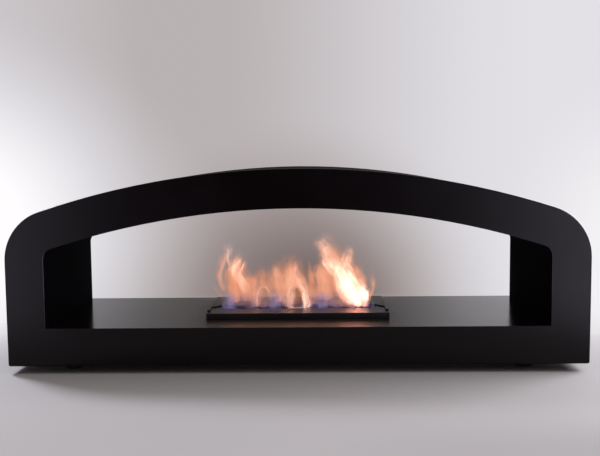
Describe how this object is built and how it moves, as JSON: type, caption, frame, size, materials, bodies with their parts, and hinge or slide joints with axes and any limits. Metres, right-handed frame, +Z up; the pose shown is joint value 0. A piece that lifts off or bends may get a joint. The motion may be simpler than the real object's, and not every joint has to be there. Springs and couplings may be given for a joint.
{
  "type": "bioethanol fireplace",
  "caption": "Free-standing see-through bioethanol fireplace: a black arched bridge with a slot burner and sliding lid set in its hearth.",
  "frame": {"origin": "on the floor, under the middle of the fireplace", "axes": "+X along the width to the right as seen from the front, +Y from front to back, +Z up"},
  "size_m": [1.3, 0.4, 0.457],
  "materials": {
    "casing_black": "satin black powder coat",
    "hearth_black": "smooth satin black enamel",
    "inner_steel": "plain zinc-plated sheet and tube, out of sight",
    "burner_black": "heat-resistant satin black",
    "lid_black": "heat-resistant satin black, lightly worn",
    "tank_steel": "stainless steel, heat tinted",
    "wool_white": "matt ceramic fibre",
    "board_beige": "matt fibre board",
    "foot_rubber": "matt black rubber",
    "zinc": "bright zinc plate"
  },
  "bodies": {
    "casing": {"front_face_panel": "casing_black", "rear_face_panel": "casing_black", "left_side_skin": "casing_black", "right_side_skin": "casing_black", "top_arch_skin": "casing_black", "left_inner_wall": "casing_black", "right_inner_wall": "casing_black", "arch_soffit": "casing_black", "hearth_panel": "hearth_black", "base_plate": "casing_black", "front_base_rail": "inner_steel", "rear_base_rail": "inner_steel", "base_cross_members": "inner_steel", "hearth_supports": "inner_steel", "arch_spacers": "inner_steel", "left_column_brace": "inner_steel", "right_column_brace": "inner_steel", "burner_well": "inner_steel", "insulation_board": "board_beige", "foot_nuts": "zinc", "foot_lock_nuts": "zinc", "base_plate_screws": "zinc"},
    "burner": {"burner_deck": "burner_black", "slot_collar": "burner_black", "fuel_box": "tank_steel", "ceramic_wool": "wool_white", "wool_retainer": "tank_steel", "left_guide_rail": "burner_black", "right_guide_rail": "burner_black"},
    "lid": {"sliding_lid": "lid_black", "lid_tab": "lid_black"},
    "foot_front_left": {"foot_pad_front_left": "foot_rubber", "foot_stem_front_left": "zinc"},
    "foot_front_right": {"foot_pad_front_right": "foot_rubber", "foot_stem_front_right": "zinc"},
    "foot_rear_left": {"foot_pad_rear_left": "foot_rubber", "foot_stem_rear_left": "zinc"},
    "foot_rear_right": {"foot_pad_rear_right": "foot_rubber", "foot_stem_rear_right": "zinc"}
  },
  "joints": [
    {"name": "burner_lift", "type": "slide", "parent": "casing", "child": "burner", "axis": [0, 0, 1], "range_m": [0, 0.06]},
    {"name": "lid_slide", "type": "slide", "parent": "burner", "child": "lid", "axis": [0, -1, 0], "range_m": [0, 0.043]},
    {"name": "foot_front_left_height", "type": "slide", "parent": "casing", "child": "foot_front_left", "axis": [0, 0, -1], "range_m": [0, 0.008]},
    {"name": "foot_front_right_height", "type": "slide", "parent": "casing", "child": "foot_front_right", "axis": [0, 0, -1], "range_m": [0, 0.008]},
    {"name": "foot_rear_left_height", "type": "slide", "parent": "casing", "child": "foot_rear_left", "axis": [0, 0, -1], "range_m": [0, 0.008]},
    {"name": "foot_rear_right_height", "type": "slide", "parent": "casing", "child": "foot_rear_right", "axis": [0, 0, -1], "range_m": [0, 0.008]}
  ]
}
